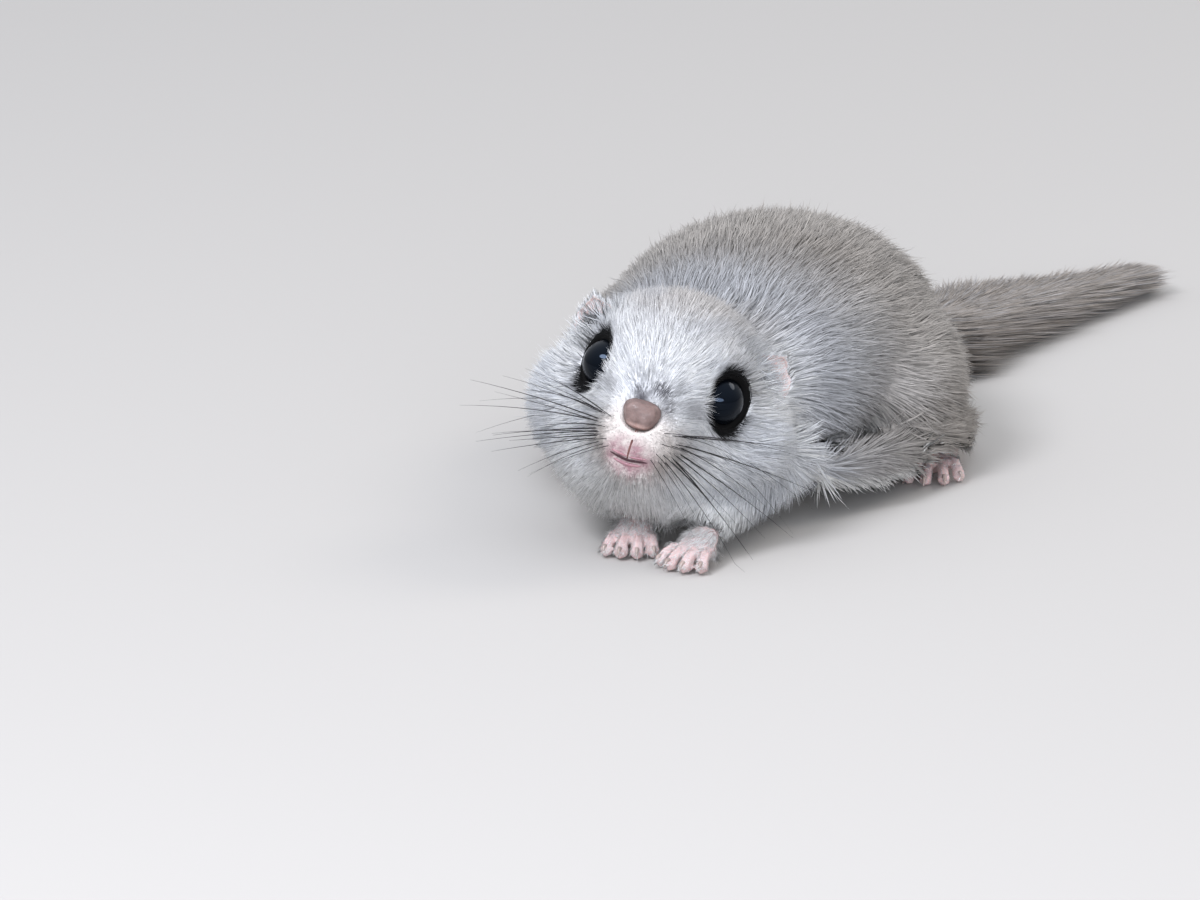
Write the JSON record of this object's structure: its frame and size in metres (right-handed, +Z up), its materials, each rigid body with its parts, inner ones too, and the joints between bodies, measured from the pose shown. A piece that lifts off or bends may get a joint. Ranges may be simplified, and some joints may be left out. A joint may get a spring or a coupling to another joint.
{
  "type": "flying squirrel",
  "caption": "Small gliding squirrel in pale winter coat, crouching with forepaws under its chin, head tilted, large dark eyes and a flat plumed tail laid out behind.",
  "frame": {"origin": "on the floor, under the middle of the animal's bounding box", "axes": "+Z up, the animal faces -Y and its left side is at +X; the tail runs to +Y"},
  "size_m": [0.0862, 0.23, 0.0448],
  "materials": {
    "pale_coat": "dense bluish-white winter fur with fine grey streaks",
    "grey_coat": "dense silver-grey fur, white below",
    "plume_coat": "long flat silky fur, grey-brown",
    "ear_skin": "thin pinkish skin with short pale hairs",
    "nose_skin": "moist pinkish-brown pebbled skin",
    "paw_skin": "pinkish skin with sparse pale hairs",
    "eye": "wet black, mirror-like"
  },
  "bodies": {
    "root": {"head": "pale_coat", "neck": "pale_coat", "torso": "grey_coat", "thigh_left": "grey_coat", "thigh_right": "grey_coat", "patagium_left": "grey_coat", "patagium_right": "grey_coat", "forearm_left": "pale_coat", "forearm_right": "pale_coat", "ear_left": "ear_skin", "ear_right": "ear_skin", "eye_left": "eye", "eye_right": "eye", "nose": "nose_skin", "forepaw_left": "paw_skin", "forepaw_right": "paw_skin", "hindfoot_left": "paw_skin", "hindfoot_right": "paw_skin", "tail_base": "grey_coat", "tail_plume": "plume_coat"}
  },
  "joints": []
}
